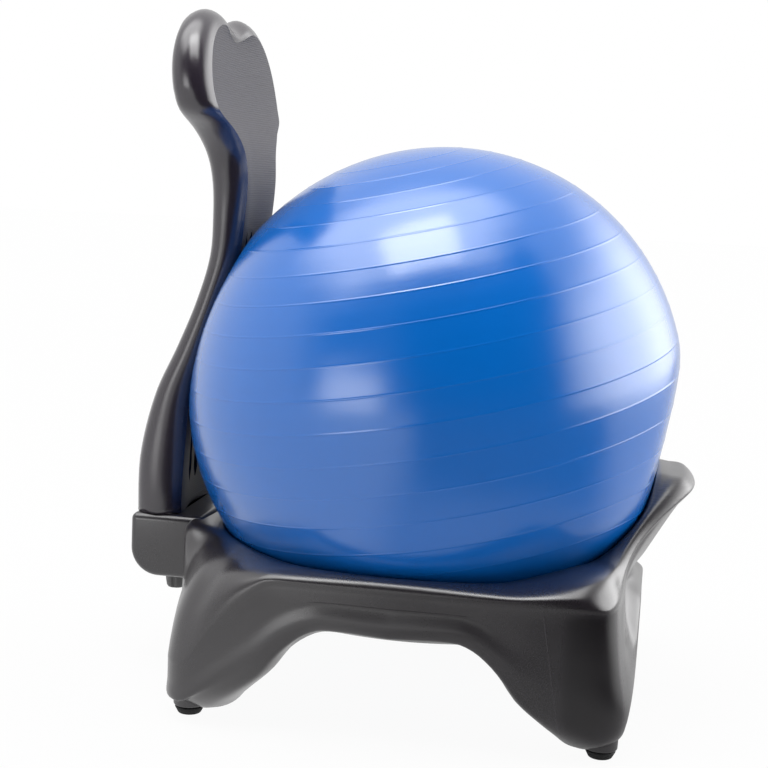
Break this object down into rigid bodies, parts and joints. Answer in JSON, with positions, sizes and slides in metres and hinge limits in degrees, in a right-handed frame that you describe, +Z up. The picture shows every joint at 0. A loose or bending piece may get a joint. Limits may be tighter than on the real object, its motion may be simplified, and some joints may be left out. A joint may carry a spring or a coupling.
{
  "type": "balance ball chair",
  "caption": "Seat of an inflated ball held in a four-legged moulded cradle with a flared front lip and a tall two-lobed backrest clamped on by hand knobs.",
  "frame": {"origin": "middle of the bounding box, on the floor under the feet", "axes": "+Z up, -Y the way the sitter faces, +X towards the side that the picture does not show"},
  "size_m": [0.5182, 0.5823, 0.694],
  "materials": {
    "base_plastic": "satin charcoal moulding",
    "backrest_plastic": "satin charcoal moulding with a fine-grained front panel",
    "ball_vinyl": "semi-gloss blue vinyl",
    "plug_plastic": "white plug",
    "sleeve_plastic": "matte",
    "foot_rubber": "matte",
    "knob_plastic": "satin black",
    "zinc_steel": "zinc plated"
  },
  "bodies": {
    "base": {"cradle_base": "base_plastic", "foot_sleeve_front_left": "sleeve_plastic", "foot_sleeve_front_right": "sleeve_plastic", "foot_sleeve_rear_left": "sleeve_plastic", "foot_sleeve_rear_right": "sleeve_plastic", "foot_front_left": "foot_rubber", "foot_front_right": "foot_rubber", "foot_rear_left": "foot_rubber", "foot_rear_right": "foot_rubber", "knob_washer_left": "zinc_steel", "knob_washer_right": "zinc_steel"},
    "backrest_board": {"backrest": "backrest_plastic", "backrest_insert_left": "zinc_steel", "backrest_insert_right": "zinc_steel"},
    "inflated_ball": {"ball": "ball_vinyl"},
    "plug": {"valve_plug": "plug_plastic"},
    "hand_knob_left": {"knob_left": "knob_plastic", "knob_stud_left": "zinc_steel"},
    "hand_knob_right": {"knob_right": "knob_plastic", "knob_stud_right": "zinc_steel"}
  },
  "joints": [
    {"name": "backrest_lift", "type": "slide", "parent": "base", "child": "backrest_board", "axis": [0, 0, 1], "range_m": [0, 0.56]},
    {"name": "ball_lift", "type": "slide", "parent": "base", "child": "inflated_ball", "axis": [0, -0.1736, 0.9848], "range_m": [0, 0.28]},
    {"name": "plug_pull", "type": "slide", "parent": "inflated_ball", "child": "plug", "axis": [0.9744, -0.2071, 0.0872], "range_m": [0, 0.03]},
    {"name": "knob_turn_left", "type": "hinge", "parent": "base", "child": "hand_knob_left", "pos_m": [-0.032, 0.2547, 0.1], "axis": [0, 0, -1], "range_deg": [0, 360]},
    {"name": "knob_turn_right", "type": "hinge", "parent": "base", "child": "hand_knob_right", "pos_m": [0.032, 0.2547, 0.1], "axis": [0, 0, -1], "range_deg": [0, 360]}
  ],
  "couplings": [
    {"joint": "ball_lift", "follows": "backrest_lift", "ratio": 0.5}
  ]
}
